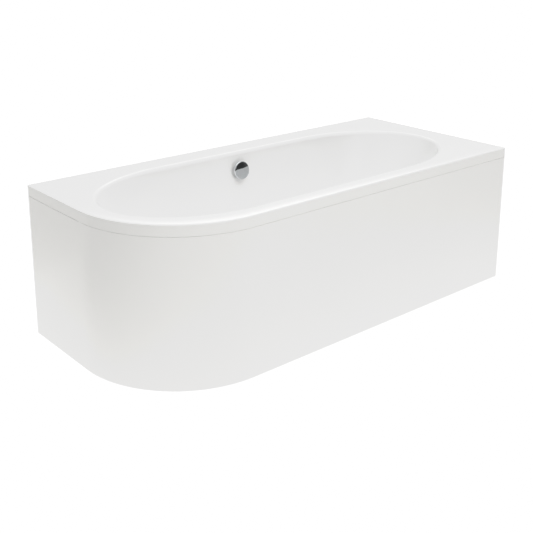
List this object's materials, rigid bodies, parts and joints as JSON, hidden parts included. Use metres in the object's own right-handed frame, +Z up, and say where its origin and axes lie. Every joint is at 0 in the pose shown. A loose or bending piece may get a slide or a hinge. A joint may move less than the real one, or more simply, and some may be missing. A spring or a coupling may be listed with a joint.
{
  "type": "bathtub",
  "caption": "Asymmetric acrylic bath with an oval bowl, one large rounded corner, a wrap-round panel to the floor, a pop-up waste worked by an overflow knob, and levelling feet.",
  "frame": {"origin": "on the floor, at the middle of the bath's length and width", "axes": "+X along the length to the square end, +Y from the front panel to the back wall, +Z up"},
  "size_m": [1.7, 0.75, 0.555],
  "materials": {
    "acrylic": "glossy white sanitary acrylic",
    "chrome": "polished chrome plate",
    "timber": "planed softwood, uncoated",
    "chipboard": "raw pressed chipboard",
    "zinc_steel": "bright zinc plate",
    "screw_steel": "plain stainless steel",
    "white_plastic": "moulded white polypropylene",
    "dark_plastic": "moulded black nylon",
    "rubber": "matt black rubber",
    "cable_sheath": "smooth grey plastic sheath"
  },
  "bodies": {
    "bath": {"baseboard": "chipboard", "bath_shell": "acrylic", "bearer_screws": "screw_steel", "cable_nut_lower": "dark_plastic", "cable_nut_upper": "dark_plastic", "control_cable": "cable_sheath", "foot_lower_nuts": "zinc_steel", "foot_upper_nuts": "zinc_steel", "front_panel": "acrylic", "leg_bearer_left": "zinc_steel", "leg_bearer_right": "zinc_steel", "lever_pin": "screw_steel", "overflow_body": "white_plastic", "overflow_faceplate": "chrome", "overflow_gasket": "rubber", "overflow_pipe": "white_plastic", "overflow_pipe_nut_lower": "white_plastic", "overflow_pipe_nut_upper": "white_plastic", "overflow_screws": "screw_steel", "panel_clip_screws": "screw_steel", "panel_clips": "zinc_steel", "panel_stay_screws": "screw_steel", "panel_stays": "zinc_steel", "rim_batten_back": "timber", "rim_batten_front": "timber", "rim_batten_left": "timber", "rim_batten_right": "timber", "trap_bend": "white_plastic", "trap_inlet_washer": "rubber", "trap_outlet_pipe": "white_plastic", "trap_outlet_washer": "rubber", "trap_swivel_nut": "white_plastic", "trap_union_nut": "white_plastic", "wall_hook_back_left": "zinc_steel", "wall_hook_back_right": "zinc_steel", "wall_hook_end": "zinc_steel", "waste_body": "white_plastic", "waste_flange": "chrome", "waste_flange_seal": "rubber", "waste_gasket": "rubber"},
    "knob": {"overflow_knob": "chrome", "knob_spindle": "screw_steel"},
    "lever": {"lift_lever": "dark_plastic"},
    "lifter": {"lift_pin": "white_plastic"},
    "plug": {"plug_cap": "chrome", "plug_seal": "rubber", "plug_stem": "white_plastic"},
    "foot_front_left": {"foot_stud_front_left": "zinc_steel", "foot_pad_front_left": "dark_plastic"},
    "foot_front_right": {"foot_stud_front_right": "zinc_steel", "foot_pad_front_right": "dark_plastic"},
    "foot_back_left": {"foot_stud_back_left": "zinc_steel", "foot_pad_back_left": "dark_plastic"},
    "foot_back_right": {"foot_stud_back_right": "zinc_steel", "foot_pad_back_right": "dark_plastic"}
  },
  "joints": [
    {"name": "knob_turn", "type": "hinge", "parent": "bath", "child": "knob", "pos_m": [-0.025, 0.24513, 0.483], "axis": [0, -0.982, 0.1891], "range_deg": [0, 110]},
    {"name": "lever_lift", "type": "hinge", "parent": "bath", "child": "lever", "pos_m": [-0.044, -0.024, 0.105], "axis": [0, -1, 0], "range_deg": [0, 25]},
    {"name": "pin_rise", "type": "slide", "parent": "bath", "child": "lifter", "axis": [0, 0, 1], "range_m": [0, 0.01]},
    {"name": "plug_lift_out", "type": "slide", "parent": "lifter", "child": "plug", "axis": [0, 0, 1], "range_m": [0, 0.12]},
    {"name": "foot_front_left_level", "type": "slide", "parent": "bath", "child": "foot_front_left", "axis": [0, 0, 1], "range_m": [0, 0.03]},
    {"name": "foot_front_right_level", "type": "slide", "parent": "bath", "child": "foot_front_right", "axis": [0, 0, 1], "range_m": [0, 0.03]},
    {"name": "foot_back_left_level", "type": "slide", "parent": "bath", "child": "foot_back_left", "axis": [0, 0, 1], "range_m": [0, 0.03]},
    {"name": "foot_back_right_level", "type": "slide", "parent": "bath", "child": "foot_back_right", "axis": [0, 0, 1], "range_m": [0, 0.03]}
  ],
  "couplings": [
    {"joint": "lever_lift", "follows": "knob_turn", "ratio": 0.227},
    {"joint": "pin_rise", "follows": "knob_turn", "m_per_rad": 0.0052}
  ]
}
